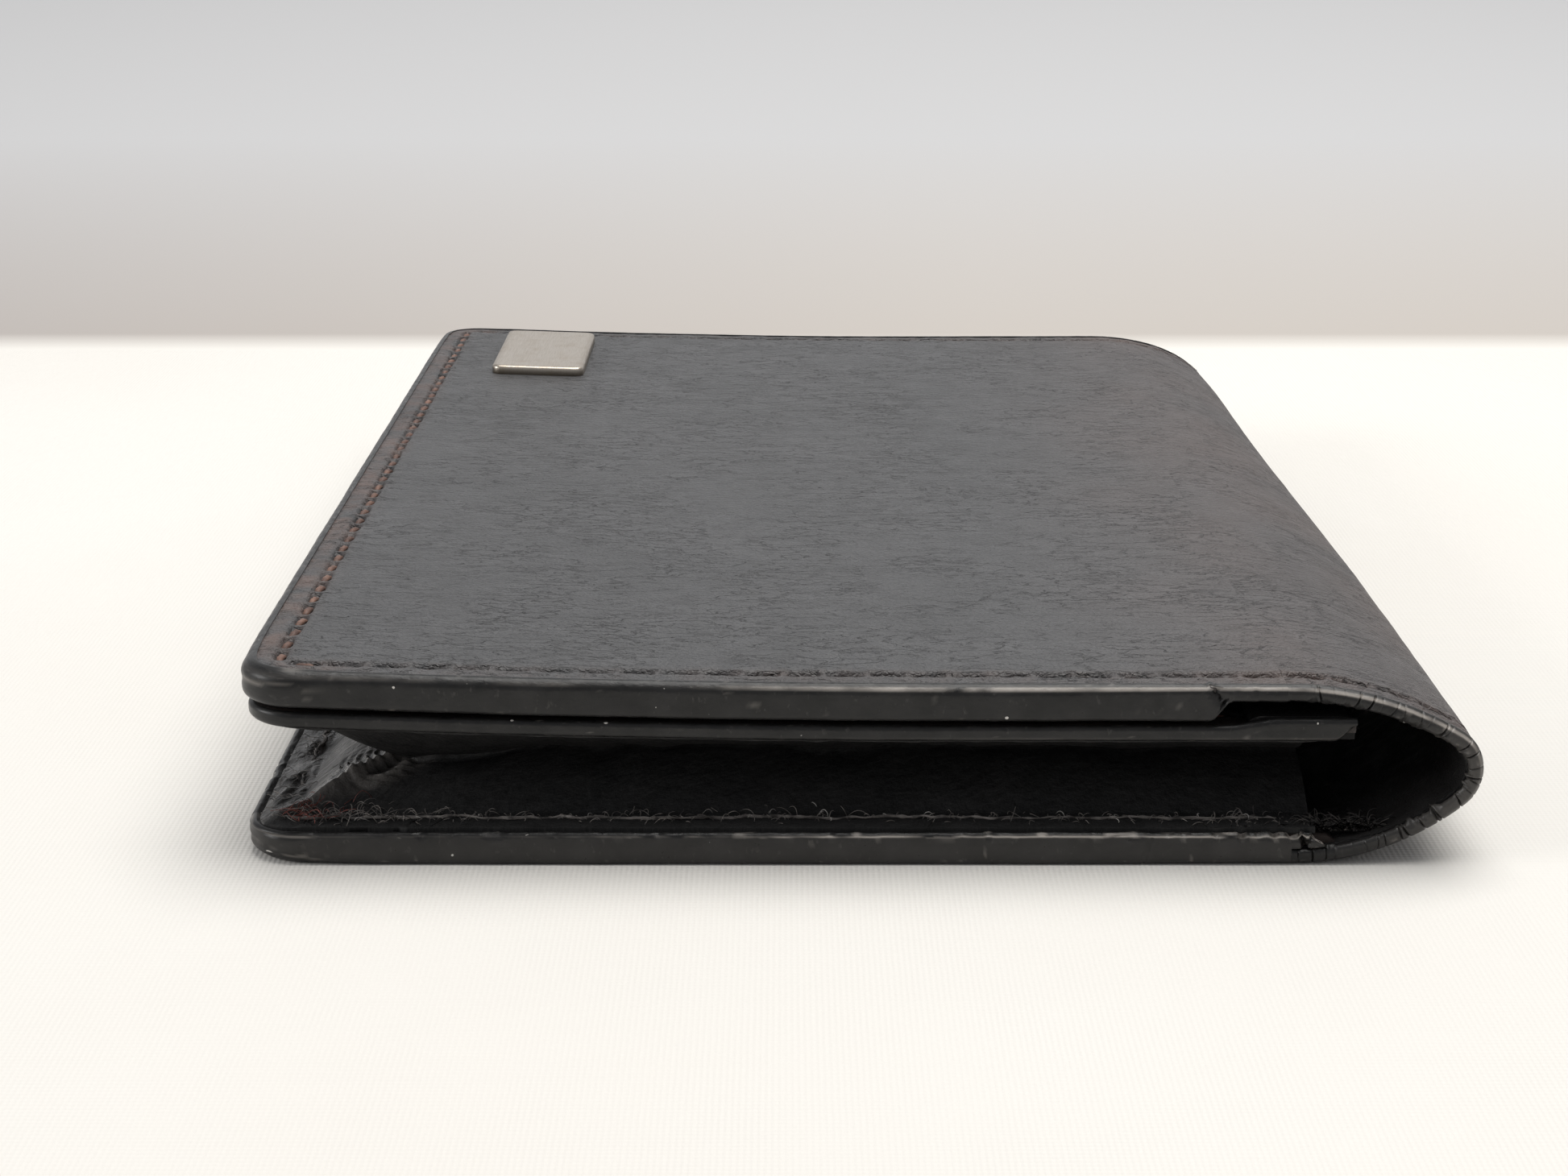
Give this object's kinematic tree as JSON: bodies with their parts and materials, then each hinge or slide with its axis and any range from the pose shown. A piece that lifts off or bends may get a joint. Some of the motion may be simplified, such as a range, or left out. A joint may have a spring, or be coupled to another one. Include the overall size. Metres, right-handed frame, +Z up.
{
  "type": "business card case",
  "caption": "Flat folding leather business card case with a gusseted card pocket, a slot panel inside the flap and a small metal badge.",
  "frame": {"origin": "centre of the closed case's footprint, on the surface it rests on", "axes": "+X from the free edge to the crown of the spine, +Y along the spine, +Z up out of the flap"},
  "size_m": [0.075, 0.11, 0.013],
  "materials": {
    "cover_leather": "charcoal grained leather, satin",
    "inner_leather": "dark smooth lining leather, satin",
    "pocket_lining": "dark twill lining, matte",
    "gusset_leather": "thin soft leather with fold creases",
    "board": "bonded fibre board",
    "edge_paint": "black edge paint, semi-gloss, cracked",
    "thread": "waxed dark brown thread",
    "badge_metal": "satin nickel-plated plate, worn",
    "backing_metal": "plain zinc-plated backing"
  },
  "bodies": {
    "back": {"back_cover_leather": "cover_leather", "back_cover_lining": "inner_leather", "back_stiffener": "board", "pocket_back_panel": "pocket_lining", "gusset_lower_leaf": "gusset_leather", "back_edge_paint": "edge_paint", "back_needle_thread": "thread", "back_bobbin_thread": "thread"},
    "pocket_front": {"pocket_front_leather": "cover_leather", "pocket_front_lining": "pocket_lining", "pocket_mouth_hem": "inner_leather", "pocket_front_edge_paint": "edge_paint", "gusset_upper_leaf": "gusset_leather", "pocket_needle_thread": "thread", "pocket_bobbin_thread": "thread"},
    "spine_lower": {"spine_lower_leather": "cover_leather", "spine_lower_lining": "inner_leather", "spine_lower_edge_paint": "edge_paint", "spine_lower_thread": "thread"},
    "spine_upper": {"spine_upper_leather": "cover_leather", "spine_upper_lining": "inner_leather", "spine_upper_edge_paint": "edge_paint", "spine_upper_thread": "thread"},
    "flap": {"flap_cover_leather": "cover_leather", "flap_cover_lining": "inner_leather", "flap_stiffener": "board", "slot_panel_leather": "inner_leather", "slot_panel_lining": "inner_leather", "flap_edge_paint": "edge_paint", "flap_needle_thread": "thread", "flap_bobbin_thread": "thread", "badge_plate": "badge_metal", "badge_backing": "backing_metal"}
  },
  "joints": [
    {"name": "back_fold", "type": "hinge", "parent": "back", "child": "spine_lower", "pos_m": [0.03161, 0, 0.00097], "axis": [0, 1, 0], "range_deg": [0, 39.5]},
    {"name": "crown_fold", "type": "hinge", "parent": "spine_lower", "child": "spine_upper", "pos_m": [0.03749, 0, 0.00623], "axis": [0, 1, 0], "range_deg": [0, 107]},
    {"name": "flap_fold", "type": "hinge", "parent": "spine_upper", "child": "flap", "pos_m": [0.03095, 0, 0.01069], "axis": [0, 1, 0], "range_deg": [0, 30.5]},
    {"name": "pocket_squeeze", "type": "slide", "parent": "back", "child": "pocket_front", "axis": [0, 0, 1], "range_m": [-0.0035, 0], "stiffness_N_per_m": 60, "springref_m": 0.003, "deforming": ["gusset_lower_leaf", "gusset_upper_leaf"]}
  ],
  "couplings": [
    {"joint": "crown_fold", "follows": "back_fold", "ratio": 2.7089},
    {"joint": "flap_fold", "follows": "back_fold", "ratio": 0.77215}
  ]
}
